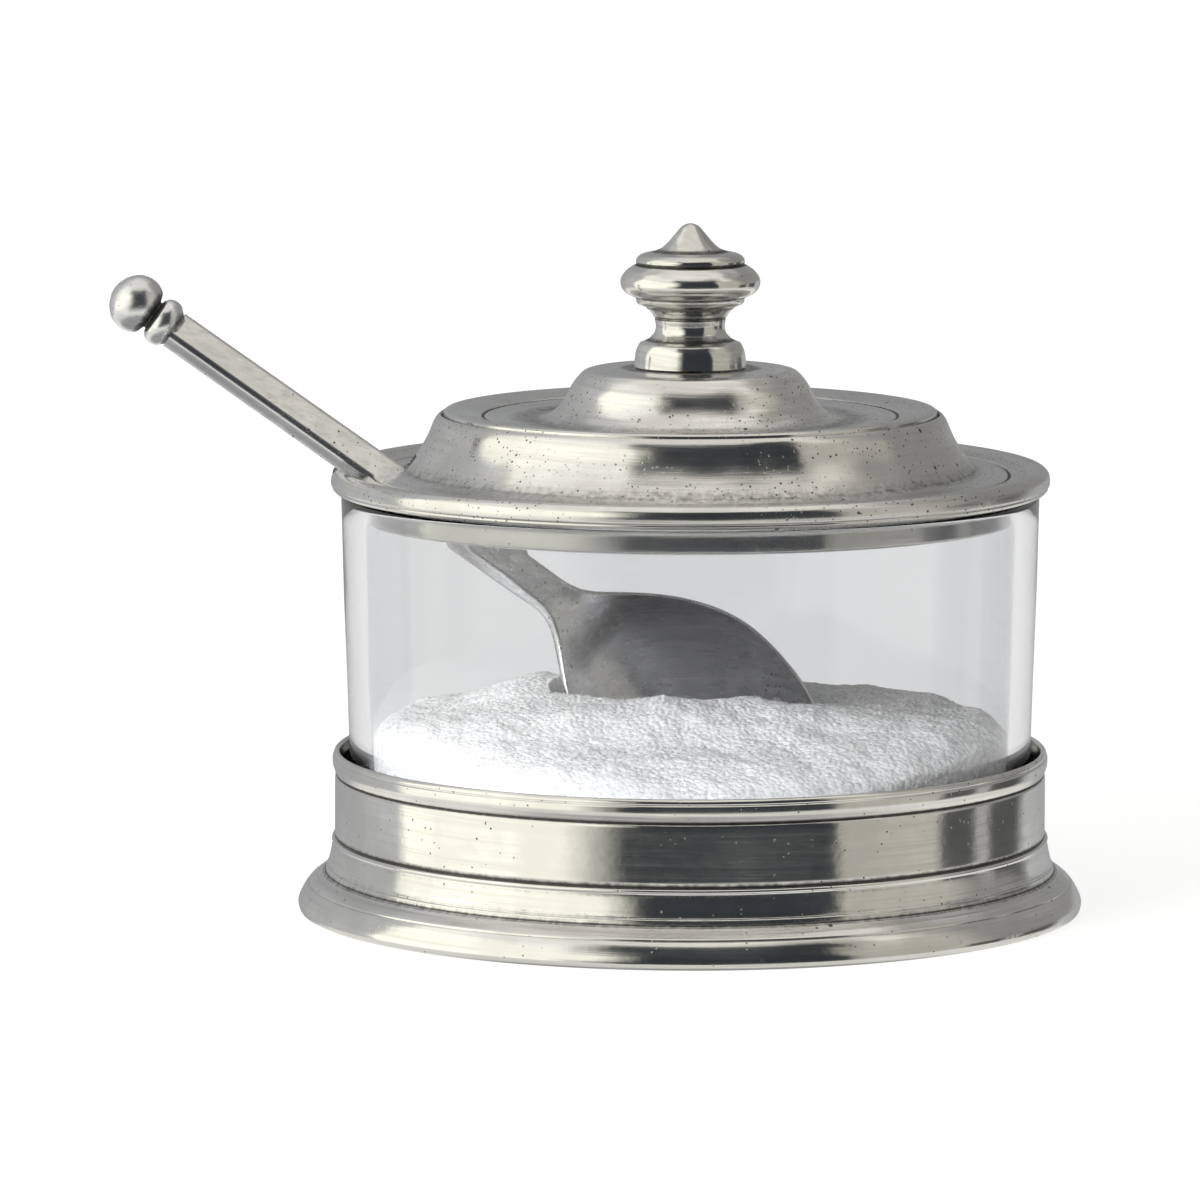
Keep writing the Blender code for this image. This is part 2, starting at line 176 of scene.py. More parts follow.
def make_studio():
    """A white room for the camera, and softboxes and dark cards for what the metal reflects."""
    world = bpy.data.worlds.new("studio")
    bpy.context.scene.world = world
    world.use_nodes = True
    nodes, links = world.node_tree.nodes, world.node_tree.links
    nodes.clear()
    place = nodes.new("ShaderNodeTexCoord")
    split = nodes.new("ShaderNodeSeparateXYZ")
    links.new(place.outputs["Generated"], split.inputs[0])
    x, y, z = split.outputs
    behind = math_node(nodes, links, "MULTIPLY", y, -1.0)
    angle = math_node(nodes, links, "ARCTAN2", x, behind)
    share = math_node(nodes, links, "MULTIPLY_ADD", angle, 0.5 / math.pi, 0.5)
    rings = []
    for stops in (LOW_RING, MID_RING, UPPER_RING):
        ring = ramp(nodes, [(turn_share(degrees), colour) for degrees, colour in stops])
        links.new(share, ring.inputs[0])
        rings.append(ring.outputs[0])
    # Each layer takes over between two values of the direction's upright part.
    layers = [
        (rings[1], -0.01, 0.07),
        (rings[2], 0.60, 0.72),
        ((*OVERHEAD, 1.0), 0.81, 0.90),
        ((*TABLE, 1.0), -0.26, -0.36),
        ((*BELOW, 1.0), -0.60, -0.78),
    ]
    room = rings[0]
    for colour, start, end in layers:
        room = mix_colour(nodes, links, smooth_step(nodes, links, z, start, end), room, colour)
    path = nodes.new("ShaderNodeLightPath")
    seen = nodes.new("ShaderNodeBackground")
    seen.inputs["Color"].default_value = (1.0, 1.0, 1.0, 1.0)
    lit = nodes.new("ShaderNodeBackground")
    links.new(room, lit.inputs["Color"])
    mix = nodes.new("ShaderNodeMixShader")
    output = nodes.new("ShaderNodeOutputWorld")
    links.new(path.outputs["Is Camera Ray"], mix.inputs[0])
    links.new(lit.outputs[0], mix.inputs[1])
    links.new(seen.outputs[0], mix.inputs[2])
    links.new(mix.outputs[0], output.inputs["Surface"])


def smooth_step(nodes, links, value, start, end):
    node = nodes.new("ShaderNodeMapRange")
    node.interpolation_type = "SMOOTHSTEP"
    node.inputs["From Min"].default_value = start
    node.inputs["From Max"].default_value = end
    links.new(value, node.inputs["Value"])
    return node.outputs[0]


def mix_colour(nodes, links, factor, first, second, blend="MIX"):
    """A colour mix; the factor and the colours are sockets or plain values."""
    node = nodes.new("ShaderNodeMix")
    node.data_type = "RGBA"
    node.blend_type = blend
    sockets = (node.inputs[0], node.inputs[6], node.inputs[7])
    for socket, value in zip(sockets, (factor, first, second)):
        if isinstance(value, bpy.types.NodeSocket):
            links.new(value, socket)
        else:
            socket.default_value = value
    return node.outputs[2]


FLOOR_HALF_WIDTH = 12.0
FLOOR_TONE = 0.26
FLOOR_GLOW = 0.82


def make_floor():
    """A wide pale floor that glows. The metal's first mirror image sees past it, to the studio."""
    bm = bmesh.new()
    bmesh.ops.create_grid(bm, x_segments=2, y_segments=2, size=FLOOR_HALF_WIDTH)
    mesh = bpy.data.meshes.new("floor")
    bm.to_mesh(mesh)
    bm.free()
    floor = bpy.data.objects.new("floor", mesh)
    bpy.context.scene.collection.objects.link(floor)
    material, nodes, links, shader = new_material("floor_paper")
    shader.inputs["Base Color"].default_value = (FLOOR_TONE, FLOOR_TONE, FLOOR_TONE, 1.0)
    shader.inputs["Roughness"].default_value = 1.0
    shader.inputs["Specular IOR Level"].default_value = 0.0
    shader.inputs["Emission Color"].default_value = (1.0, 1.0, 1.0, 1.0)
    shader.inputs["Emission Strength"].default_value = FLOOR_GLOW
    path = nodes.new("ShaderNodeLightPath")
    clear = nodes.new("ShaderNodeBsdfTransparent")
    mix = nodes.new("ShaderNodeMixShader")
    mirrored = math_node(nodes, links, "COMPARE", path.outputs["Glossy Depth"], 1.0, 0.5)
    in_glass_wall = math_node(nodes, links, "COMPARE", path.outputs["Transmission Depth"], 1.5, 1.0)
    links.new(math_node(nodes, links, "SUBTRACT", mirrored, in_glass_wall), mix.inputs[0])
    links.new(shader.outputs[0], mix.inputs[1])
    links.new(clear.outputs[0], mix.inputs[2])
    links.new(mix.outputs[0], nodes["Material Output"].inputs["Surface"])
    mesh.materials.append(material)
    floor.visible_glossy = False


SUN_ENERGY = 2.4
SUN_WIDTH = math.radians(30)
SUN_TOWARD = Vector((-0.66, -0.66, 0.38))


def make_sun():
    """A broad soft light from the front left, for the sugar and the faint shadow.

    The metal doesn't mirror it."""
    data = bpy.data.lights.new("soft_sun", "SUN")
    data.energy = SUN_ENERGY
    data.angle = SUN_WIDTH
    light = bpy.data.objects.new("soft_sun", data)
    light.rotation_euler = SUN_TOWARD.to_track_quat("Z", "Y").to_euler()
    light.visible_glossy = False
    bpy.context.scene.collection.objects.link(light)


# ------------------------------------------------------------------ outlines and meshes


def arc(centre_r, centre_z, radius, start, end, points):
    """Points on a round stretch of an outline, from one angle to another, in degrees."""
    angles = [math.radians(start + (end - start) * i / (points - 1)) for i in range(points)]
    return [(centre_r + radius * math.cos(a), centre_z + radius * math.sin(a)) for a in angles]


def curve(points, per):
    """A smooth line through a few points, with `per` steps to each stretch."""
    p = [np.array(q, float) for q in points]
    p = [2 * p[0] - p[1]] + p + [2 * p[-1] - p[-2]]
    made = []
    for a, b, c, d in zip(p, p[1:], p[2:], p[3:]):
        for i in range(per):
            t = i / per
            bent = 2 * b + (c - a) * t + (2 * a - 5 * b + 4 * c - d) * t**2
            made.append(0.5 * (bent + (3 * b - a - 3 * c + d) * t**3))
    made.append(p[-2])
    return [tuple(q) for q in made]


def groove(r0, z0, r1, z1, depth):
    """A narrow rounded groove cut into a straight stretch from one point to another."""
    start, end = np.array((r0, z0), float), np.array((r1, z1), float)
    run = end - start
    inward = np.array((run[1], -run[0])) / np.linalg.norm(run)
    shares = (0.0, 0.2, 0.35, 0.5, 0.65, 0.8, 1.0)
    depths = (0.0, 0.25, 0.85, 1.0, 0.85, 0.25, 0.0)
    return [tuple(start + run * s + inward * depth * d) for s, d in zip(shares, depths)]


def resample(outline, longest):
    """Splits the long straight stretches of an outline."""
    made = [outline[0]]
    for a, b in zip(outline, outline[1:]):
        pieces = max(1, math.ceil(math.dist(a, b) / longest))
        for i in range(1, pieces + 1):
            made.append((a[0] + (b[0] - a[0]) * i / pieces, a[1] + (b[1] - a[1]) * i / pieces))
    return made


CREASE_DEPTH = 0.22  # a point this far below its neighbours counts as a full crease
UNEVEN_WAVE = 14.0  # length of the slight waves left by hand work
UNEVEN_FROM = 8.0  # radius from which they have their full height


def hollowness(outline, reach):
    """How deep each point of an outline lies in a crease, from 0 on open metal to 1 in a groove."""
    p = np.array(outline, float)
    count = len(p)
    lengths = np.linalg.norm(np.diff(p, axis=0), axis=1)
    along = np.concatenate(([0.0], np.cumsum(lengths)))
    values = np.zeros(count)
    for i in range(count):
        near = np.abs(along - along[i]) < reach
        if near.sum() < 3:
            continue
        around = p[near]
        ends = around[-1] - around[0]
        if np.linalg.norm(ends) < 1e-6:
            continue
        outward = np.array((-ends[1], ends[0])) / np.linalg.norm(ends)
        middle = (around[0] + around[-1]) / 2
        values[i] = (middle - p[i]) @ outward
    return np.clip(values / CREASE_DEPTH, 0.0, 1.0)


def turned(name, outline, steps=TURN_STEPS, closed=False, longest=1.2, uneven=0.05, seed=0.0, reach=0.9):
    """A turned mesh with a crease value on each point. The outline runs down the outer side."""
    if closed:
        outline = outline + [outline[0]]
    outline = resample(outline, longest)
    crease = hollowness(outline, reach)
    if closed:
        outline, crease = outline[:-1], crease[:-1]
    bm = bmesh.new()
    layer = bm.verts.layers.float.new("crease")
    rows = []
    for (r, z), c in zip(outline, crease):
        if r < 1e-6:
            vert = bm.verts.new((0.0, 0.0, z * MM))
            vert[layer] = c
            rows.append([vert] * steps)
            continue
        row = []
        for i in range(steps):
            a = 2 * math.pi * i / steps
            probe = Vector((r * math.cos(a), r * math.sin(a), z + seed))
            out = r + uneven * noise.noise(probe / UNEVEN_WAVE) * min(1.0, r / UNEVEN_FROM)
            vert = bm.verts.new((out * math.cos(a) * MM, out * math.sin(a) * MM, z * MM))
            vert[layer] = c
            row.append(vert)
        rows.append(row)
    skin(bm, rows + rows[:1] if closed else rows)
    return mesh_object(name, bm)


def skin(bm, rows):
    """Faces from each ring of points to the next. A ring that repeats one point is a tip."""
    steps = len(rows[0])
    for upper, lower in zip(rows, rows[1:]):
        for i in range(steps):
            j = (i + 1) % steps
            corners = []
            for v in (upper[i], lower[i], lower[j], upper[j]):
                if v not in corners:
                    corners.append(v)
            if len(corners) > 2:
                bm.faces.new(corners)


def mesh_object(name, bm):
    mesh = bpy.data.meshes.new(name)
    bm.to_mesh(mesh)
    bm.free()
    thing = bpy.data.objects.new(name, mesh)
    bpy.context.scene.collection.objects.link(thing)
    return thing


def patina_and_shade_band(thing, inner, outer, lowest, highest, amount):
    """Darkens a band between two radii and two heights, strongest in its middle: patina in grooves, and
    painted shade where a call puts it in the lid's recess.
    """
    layer = thing.data.attributes["crease"].data
    for vert, value in zip(thing.data.vertices, layer):
        radius, height = math.hypot(vert.co.x, vert.co.y) / MM, vert.co.z / MM
        if inner < radius < outer and lowest < height < highest:
            share = (radius - inner) / (outer - inner)
            value.value = max(value.value, amount * math.sin(math.pi * share) ** 0.6)


def smooth(thing, angle=50):
    thing.data.shade_smooth()
    thing.data.set_sharp_from_angle(angle=math.radians(angle))
    return thing


def apply_modifiers(thing):
    graph = bpy.context.evaluated_depsgraph_get()
    bpy.context.view_layer.update()
    mesh = bpy.data.meshes.new_from_object(thing.evaluated_get(graph))
    thing.modifiers.clear()
    thing.data = mesh


def place_piece(thing, material, body, node):
    """Puts a finished piece on its body, in the place of its CAD node."""
    thing.data.materials.clear()
    thing.data.materials.append(material)
    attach(thing, body)
    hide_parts(node)


# ------------------------------------------------------------------ materials


def new_material(name):
    material = bpy.data.materials.new(name)
    material.use_nodes = True
    tree = material.node_tree
    return material, tree.nodes, tree.links, tree.nodes["Principled BSDF"]


def noise_node(nodes, links, vector, scale, detail, roughness=0.5):
    node = nodes.new("ShaderNodeTexNoise")
    node.inputs["Scale"].default_value = scale
    node.inputs["Detail"].default_value = detail
    node.inputs["Roughness"].default_value = roughness
    links.new(vector, node.inputs["Vector"])
    return node.outputs["Fac"]


def bump(nodes, links, shader, height, strength, distance):
    """Gives a shader a fine relief."""
    node = nodes.new("ShaderNodeBump")
    node.inputs["Strength"].default_value = strength
    node.inputs["Distance"].default_value = distance
    links.new(height, node.inputs["Height"])
    links.new(node.outputs[0], shader.inputs["Normal"])


TURNING_MARKS = 1300.0  # noise scale across the marks, per metre
MARK_DRIFT = 0.9  # how far the noise moves along a mark in a turn


def lathe_vector(nodes, links, place):
    """Coordinates that run along the turning marks: angle stretched out, radius and height fine."""
    split = nodes.new("ShaderNodeSeparateXYZ")
    links.new(place, split.inputs[0])
    x, y, z = split.outputs
    flat = nodes.new("ShaderNodeCombineXYZ")
    links.new(x, flat.inputs[0])
    links.new(y, flat.inputs[1])
    size = nodes.new("ShaderNodeVectorMath")
    size.operation = "LENGTH"
    links.new(flat.outputs[0], size.inputs[0])
    radius = size.outputs["Value"]
    angle = math_node(nodes, links, "ARCTAN2", y, x)
    wrapped = math_node(nodes, links, "COSINE", angle)
    other = math_node(nodes, links, "SINE", angle)
    joined = nodes.new("ShaderNodeCombineXYZ")
    fine = math_node(nodes, links, "MULTIPLY", radius, TURNING_MARKS)
    tall = math_node(nodes, links, "MULTIPLY", z, TURNING_MARKS)
    links.new(math_node(nodes, links, "MULTIPLY_ADD", wrapped, MARK_DRIFT, tall), joined.inputs[0])
    links.new(math_node(nodes, links, "MULTIPLY_ADD", other, MARK_DRIFT, fine), joined.inputs[1])
    links.new(math_node(nodes, links, "ADD", wrapped, other), joined.inputs[2])
    return joined.outputs[0]


def pit_mask(nodes, links, place, scale, chance, size):
    """Casting pits: a few cells of a Voronoi pattern, each with a small dark spot of its own size."""
    shift = noise_node(nodes, links, place, scale * 1.7, 1.0)
    moved = nodes.new("ShaderNodeVectorMath")
    moved.operation = "SCALE"
    links.new(place, moved.inputs[0])
    links.new(math_node(nodes, links, "MULTIPLY_ADD", shift, 0.004, 0.998), moved.inputs["Scale"])
    cells = nodes.new("ShaderNodeTexVoronoi")
    cells.inputs["Scale"].default_value = scale
    links.new(moved.outputs[0], cells.inputs["Vector"])
    split = nodes.new("ShaderNodeSeparateColor")
    links.new(cells.outputs["Color"], split.inputs[0])
    radius = math_node(nodes, links, "MULTIPLY_ADD", split.outputs[1], size * 0.8, size * 0.25)
    near = math_node(nodes, links, "DIVIDE", cells.outputs["Distance"], radius)
    spot = smooth_step(nodes, links, near, 1.0, 0.5)
    kept = math_node(nodes, links, "LESS_THAN", split.outputs[0], chance)
    return math_node(nodes, links, "MULTIPLY", spot, kept)


# Dark colour for patina, pits and painted shade.
PATINA_AND_SHADE_COLOUR = (0.035, 0.033, 0.031, 1.0)
PATINA_AND_SHADE_COVER = 0.88
PIT_COVER = 0.85
BIG_PITS = 520.0  # cells per metre
SMALL_PITS = 1500.0
HANDLE_GRAIN = math.radians(34.8)  # the spoon's polishing marks run down its handle
GRAIN_SCALE = (120.0, 900.0, 900.0)
WORN_FROM = 0.012  # metres right of the axis where the worn side begins
WORN_FULL = 0.042


def shade(tint, amount):
    """A tint made darker or lighter, as a colour with its alpha."""
    return (*[min(1.0, amount * c) for c in tint], 1.0)


def pewter(name, tint=(0.78, 0.775, 0.76), rough=0.2, turned_marks=True, pits=0.10, worn_side=0.0):
    """Hand-finished pewter: turning marks, cloudy tone, casting pits, dark patina in creases, and painted
    shade where the crease values hold it.

    The worn side is the share of extra pits and dullness on the right."""
    material, nodes, links, shader = new_material(name)
    place = nodes.new("ShaderNodeTexCoord").outputs["Object"]
    crease = nodes.new("ShaderNodeAttribute")
    crease.attribute_name = "crease"
    cloud = noise_node(nodes, links, place, 70.0, 4.0, 0.6)
    grain = noise_node(nodes, links, place, 900.0, 3.0, 0.6)
    if turned_marks:
        marks = noise_node(nodes, links, lathe_vector(nodes, links, place), 1.0, 4.0, 0.65)
    else:
        stretched = nodes.new("ShaderNodeMapping")
        stretched.inputs["Rotation"].default_value = (0.0, HANDLE_GRAIN, 0.0)
        stretched.inputs["Scale"].default_value = GRAIN_SCALE
        links.new(place, stretched.inputs["Vector"])
        marks = noise_node(nodes, links, stretched.outputs[0], 1.0, 3.0, 0.6)

    dark, light = shade(tint, 0.80), shade(tint, 1.06)
    tone = mix_colour(nodes, links, smooth_step(nodes, links, cloud, 0.3, 0.7), dark, light)
    streak = smooth_step(nodes, links, marks, 0.30, 0.62)
    tone = mix_colour(nodes, links, streak, dark, tone)
    across = nodes.new("ShaderNodeSeparateXYZ")
    links.new(place, across.inputs[0])
    right = smooth_step(nodes, links, across.outputs[0], WORN_FROM, WORN_FULL)
    worn_share = math_node(nodes, links, "MULTIPLY", right, worn_side)
    clouded = math_node(nodes, links, "MULTIPLY", worn_share, cloud)
    tone = mix_colour(nodes, links, clouded, tone, shade(tint, 0.62))

    big = pit_mask(nodes, links, place, BIG_PITS, pits * 0.28, 0.24)
    small = pit_mask(nodes, links, place, SMALL_PITS, pits * 1.3, 0.34)
    patch = noise_node(nodes, links, place, 38.0, 2.0)
    patch = math_node(nodes, links, "MULTIPLY_ADD", crease.outputs["Fac"], 0.3, patch)
    patch = math_node(nodes, links, "MULTIPLY_ADD", worn_share, 0.22, patch)
    patch = smooth_step(nodes, links, patch, 0.38, 0.54)
    spots = math_node(nodes, links, "MULTIPLY", math_node(nodes, links, "MAXIMUM", big, small), patch)

    # The crease values give patina in hollows and painted shade in the lid's recess.
    edge = math_node(nodes, links, "MULTIPLY_ADD", grain, 0.7, -0.35)
    patina_and_shade_level = math_node(nodes, links, "ADD", crease.outputs["Fac"], edge)
    patina_and_shade = smooth_step(nodes, links, patina_and_shade_level, 0.25, 0.95)
    patina_and_shade = math_node(nodes, links, "MULTIPLY", patina_and_shade, PATINA_AND_SHADE_COVER)
    marked = math_node(nodes, links, "MAXIMUM", patina_and_shade, math_node(nodes, links, "MULTIPLY", spots, PIT_COVER))
    colour = mix_colour(nodes, links, marked, tone, PATINA_AND_SHADE_COLOUR)
    links.new(colour, shader.inputs["Base Color"])
    shader.inputs["Metallic"].default_value = 1.0

    uneven = math_node(nodes, links, "MULTIPLY_ADD", cloud, 0.14, rough - 0.07)
    worn = math_node(nodes, links, "MULTIPLY_ADD", streak, -0.05, uneven)
    worn = math_node(nodes, links, "MULTIPLY_ADD", worn_share, 0.10, worn)
    links.new(math_node(nodes, links, "MULTIPLY_ADD", marked, 0.45, worn), shader.inputs["Roughness"])
    if turned_marks:
        shader.inputs["Anisotropic"].default_value = 0.7
        shader.inputs["Anisotropic Rotation"].default_value = 0.25
        tangent = nodes.new("ShaderNodeTangent")
        tangent.direction_type = "RADIAL"
        tangent.axis = "Z"
        links.new(tangent.outputs[0], shader.inputs["Tangent"])

    height = math_node(nodes, links, "MULTIPLY", grain, 0.12)
    height = math_node(nodes, links, "MULTIPLY_ADD", marks, 0.5, height)
    height = math_node(nodes, links, "MULTIPLY_ADD", spots, -0.9, height)
    height = math_node(nodes, links, "MULTIPLY_ADD", cloud, 1.6, height)
    bump(nodes, links, shader, height, 0.36, 0.00012)
    return material


def clear_glass():
    """Thick clear glass with the faint ripples and uneven tone that pressed glass has."""
    material, nodes, links, shader = new_material("clear_glass")
    shader.inputs["Transmission Weight"].default_value = 1.0
    shader.inputs["IOR"].default_value = 1.5
    place = nodes.new("ShaderNodeTexCoord").outputs["Object"]
    ripple = noise_node(nodes, links, place, 45.0, 2.0)
    tint = mix_colour(nodes, links, ripple, (0.795, 0.80, 0.815, 1.0), (0.82, 0.825, 0.84, 1.0))
    links.new(tint, shader.inputs["Base Color"])
    shader.inputs["Roughness"].default_value = 0.0
    bump(nodes, links, shader, ripple, 0.1, 0.0002)
    return material


SUGAR_GRAINS = 1500.0  # cells per metre


def sugar_material():
    """White sugar: bright, slightly see-through grains with small sparkling faces."""
    material, nodes, links, shader = new_material("sugar")
    place = nodes.new("ShaderNodeTexCoord").outputs["Object"]
    cells = nodes.new("ShaderNodeTexVoronoi")
    cells.inputs["Scale"].default_value = SUGAR_GRAINS
    links.new(place, cells.inputs["Vector"])
    split = nodes.new("ShaderNodeSeparateColor")
    links.new(cells.outputs["Color"], split.inputs[0])
    tone = mix_colour(nodes, links, split.outputs[0], (0.74, 0.75, 0.77, 1.0), (0.98, 0.98, 0.99, 1.0))
    drift = smooth_step(nodes, links, noise_node(nodes, links, place, 160.0, 3.0), 0.35, 0.65)
    drift = math_node(nodes, links, "MULTIPLY", drift, 0.5)
    tone = mix_colour(nodes, links, drift, tone, (0.82, 0.83, 0.85, 1.0))
    links.new(tone, shader.inputs["Base Color"])
    dull = math_node(nodes, links, "MULTIPLY_ADD", split.outputs[1], 0.5, 0.2)
    links.new(dull, shader.inputs["Roughness"])
    shader.inputs["Subsurface Weight"].default_value = 0.5
    shader.inputs["Subsurface Radius"].default_value = (1.0, 1.0, 1.0)
    shader.inputs["Subsurface Scale"].default_value = 0.0012
    height = math_node(nodes, links, "SUBTRACT", 1.0, cells.outputs["Distance"])
    bump(nodes, links, shader, height, 0.45, 0.0004)
    return material


def brass(name):
    material, nodes, links, shader = new_material(name)
    place = nodes.new("ShaderNodeTexCoord").outputs["Object"]
    cloud = noise_node(nodes, links, place, 700.0, 3.0)
    colour = mix_colour(nodes, links, cloud, (0.50, 0.36, 0.16, 1.0), (0.78, 0.62, 0.34, 1.0))
    links.new(colour, shader.inputs["Base Color"])
    shader.inputs["Metallic"].default_value = 1.0
    links.new(math_node(nodes, links, "MULTIPLY_ADD", cloud, 0.3, 0.2), shader.inputs["Roughness"])
    return material


# ------------------------------------------------------------------ base


def make_base():
    foot = curve([(54.4, 5.0), (54.9, 4.75), (55.75, 4.1)], 4) + groove(55.8, 4.05, 56.05, 3.75, 0.15)
    foot += curve([(56.1, 3.7), (56.6, 3.0), (57.28, 1.7), (57.45, 0.95), (57.32, 0.25)], 5)
    lip = curve([(51.25, 22.6), (51.4, 23.2), (51.75, 23.4), (52.1, 23.1)], 4)
    band = groove(52.2, 22.85, 52.36, 22.35, 0.12) + curve([(52.37, 22.2), (52.34, 21.3), (52.05, 20.4)], 4)
    wall = groove(52.0, 20.25, 52.0, 19.55, 0.28) + [(52.03, 19.3), (52.05, 12.4), (52.07, 11.1)]
    ledge = [(52.0, 10.95), (51.95, 10.8), (52.1, 10.65)]
    ledge += arc(52.15, 10.3, 0.36, 75, -40, 6) + [(52.38, 9.9)]
    cove = curve([(52.42, 9.6), (52.65, 8.4), (52.98, 7.0), (53.1, 6.7)], 4)
    line = [(53.05, 6.6), (53.1, 6.45), (53.3, 6.35)]
    fillet = curve([(53.32, 6.1), (53.5, 5.66), (54.0, 5.3)], 3)
    under = [(57.2, 0.0), (54.3, 0.0), (54.3, 2.3), (50.9, 2.3), (50.9, 21.4)]
    outline = lip + band + wall + ledge + cove + line + fillet + foot + under
    ring = turned("base_ring_detail", outline, closed=True, longest=0.9, uneven=0.06, seed=3.0)
    smooth(ring)
    place_piece(ring, pewter("pewter_base", pits=0.09, rough=0.17), "base", "base_ring")


# ------------------------------------------------------------------ glass and sugar


GLASS_INSIDE = [(46.3, 10.8), (46.9, 35.0), (47.6, 60.3)]  # its straight stretches, upwards
GLASS_FLOOR = 7.2
GLASS_FLOOR_ROUND = 3.6
GLASS_FOOT = 2.3
GLASS_FOOT_RADIUS = 49.4
GLASS_FOOT_ROUND = 2.6


def make_glass():
    inside = [(0.0, GLASS_FLOOR), (20.0, GLASS_FLOOR)]
    corner_r, corner_z = GLASS_INSIDE[0][0] - GLASS_FLOOR_ROUND, GLASS_FLOOR + GLASS_FLOOR_ROUND
    inside += arc(corner_r, corner_z, GLASS_FLOOR_ROUND, -90, 0, 14)
    inside += GLASS_INSIDE[1:] + arc(48.3, 60.3, 0.7, 180, 90, 6)
    outside = arc(50.15, 60.2, 0.8, 90, 0, 6) + [(50.6, 45.3), (50.07, 30.5), (49.95, 26.0)]
    corner_r, corner_z = GLASS_FOOT_RADIUS - GLASS_FOOT_ROUND, GLASS_FOOT + GLASS_FOOT_ROUND
    outside += arc(corner_r, corner_z, GLASS_FOOT_ROUND, 0, -90, 12)
    outside += [(20.0, GLASS_FOOT), (0.0, GLASS_FOOT)]
    glass = turned("glass_liner_detail", inside + outside, longest=3.0, uneven=0.02, seed=9.0)
    smooth(glass, 60)
    glass.visible_shadow = False
    place_piece(glass, clear_glass(), "glass", "glass_liner")


def glass_inner_radius(height):
    """The straight inside of the glass, above its rounded floor."""
    low, middle, high = GLASS_INSIDE
    start, end = (low, middle) if height < middle[1] else (middle, high)
    return start[0] + (end[0] - start[0]) * (height - start[1]) / (end[1] - start[1])


def hump(x, y, centre, spread):
    """A rounded heap, 1 at its centre."""
    return math.exp(-(((x - centre[0]) / spread[0]) ** 2) - ((y - centre[1]) / spread[1]) ** 2)


SUGAR_LEVEL = 28.6  # behind the spoon
SUGAR_FRONT_DROP = 4.4  # how much lower it lies against the glass in front
SUGAR_RIDGE = 4.2  # height of the ridge in front of the spoon
SUGAR_HEAP = 5.2  # height of the heap left of the spoon
SUGAR_RADIUS = 46.5
SUGAR_ROUND_FROM = 41.5  # from this radius to the glass the surface is rounded down
SUGAR_ROUND_DROP = 2.6
SUGAR_GAP = 0.25  # between the sugar's side and the glass
SUGAR_FLOOR = 7.5
SUGAR_RINGS = 170
SUGAR_STEPS = 640


def sugar_height(x, y):
    """The heaped surface: low against the front glass, a ridge before the spoon and a heap beside it."""
    front = min(1.0, max(0.0, (-y - 20.0) / 25.0))
    ridge = SUGAR_RIDGE * hump(x, y, (2.0, -15.0), (34.0, 11.0))
    heap = SUGAR_HEAP * hump(x, y, (-22.0, 5.0), (11.0, 13.0))
    shape = SUGAR_LEVEL - SUGAR_FRONT_DROP * front**1.5 + ridge + heap
    lumps = 0.7 * noise.noise(Vector((x, y, 0.0)) / 8.0) + 0.3 * noise.noise(Vector((x, y, 5.0)) / 2.6)
    grains = 0.30 * noise.noise(Vector((x, y, 9.0)) / 0.45)
    rim = max(0.0, math.hypot(x, y) - SUGAR_ROUND_FROM) / (SUGAR_RADIUS - SUGAR_ROUND_FROM)
    return shape + lumps + grains - SUGAR_ROUND_DROP * rim**2


def make_sugar():
    bm = bmesh.new()
    turns = [2 * math.pi * i / SUGAR_STEPS for i in range(SUGAR_STEPS)]
    centre = bm.verts.new((0.0, 0.0, sugar_height(0.0, 0.0) * MM))
    rows = [[centre] * SUGAR_STEPS]
    for k in range(1, SUGAR_RINGS + 1):
        r = SUGAR_RADIUS * k / SUGAR_RINGS
        row = []
        for a in turns:
            x, y = r * math.cos(a), r * math.sin(a)
            row.append(bm.verts.new((x * MM, y * MM, sugar_height(x, y) * MM)))
        rows.append(row)
    side = [(glass_inner_radius(z) - SUGAR_GAP, z) for z in (20.0, 16.0, 12.0)]
    side += [(45.4, 9.4), (43.2, 7.8), (30.0, SUGAR_FLOOR)]
    for r, z in side:
        rows.append([bm.verts.new((r * math.cos(a) * MM, r * math.sin(a) * MM, z * MM)) for a in turns])
    foot = bm.verts.new((0.0, 0.0, SUGAR_FLOOR * MM))
    rows.append([foot] * SUGAR_STEPS)
    skin(bm, rows)
    sugar = mesh_object("sugar_heap", bm)
    cut(sugar, sugar_slot())
    smooth(sugar, 80)
    place_piece(sugar, sugar_material(), "glass", "sugar_fill")


def cut(thing, cutter):
    boolean = thing.modifiers.new("cut", "BOOLEAN")
    boolean.object = cutter
    boolean.operation = "DIFFERENCE"
    boolean.solver = "EXACT"
    apply_modifiers(thing)
    bpy.data.objects.remove(cutter)


# ------------------------------------------------------------------ spoon

HANDLE_TOP = Vector((-75.2, 0.0, 84.8))
HANDLE_END = Vector((-24.0, 0.0, 48.6))
HANDLE_ROLL = math.radians(47)
HANDLE_WIDTH = 5.6
HANDLE_SPREAD = 0.4  # how much wider it is at its lower end
HANDLE_DEPTH = 3.3
HANDLE_BEVEL = 1.0
HANDLE_STATIONS = 60
NECK_LENGTH = 11.0
NECK_WIDTH = 5.7
NECK_DEPTH = 2.2
NECK_BEVEL = 0.9
NECK_BLEND = 2.6  # power with which the neck's width melts into the bowl's
BOWL_CENTRE = Vector((-0.4, 0.0, 28.8))
BOWL_SLOPE = math.radians(41)
BOWL_ROLL = math.radians(70)
BOWL_HALF_LENGTH = 23.8
BOWL_HALF_WIDTH = 16.2
BOWL_DEPTH = 8.4
BOWL_SWEEP = 0.95  # 0.5 is a round-bottomed tub, 1.0 an even curve from rim to rim
BOWL_WALL = 1.2
BOWL_ROWS = 90
SECTION_COLUMNS = 25
SUGAR_SLOT = 0.6  # clearance round the spoon's bowl
PIVOT = Vector((-47.6, 0.0, 61.3))  # where the handle lies on the rim of the glass
SLOT_TILT = math.radians(9)  # a little more than the full tilt


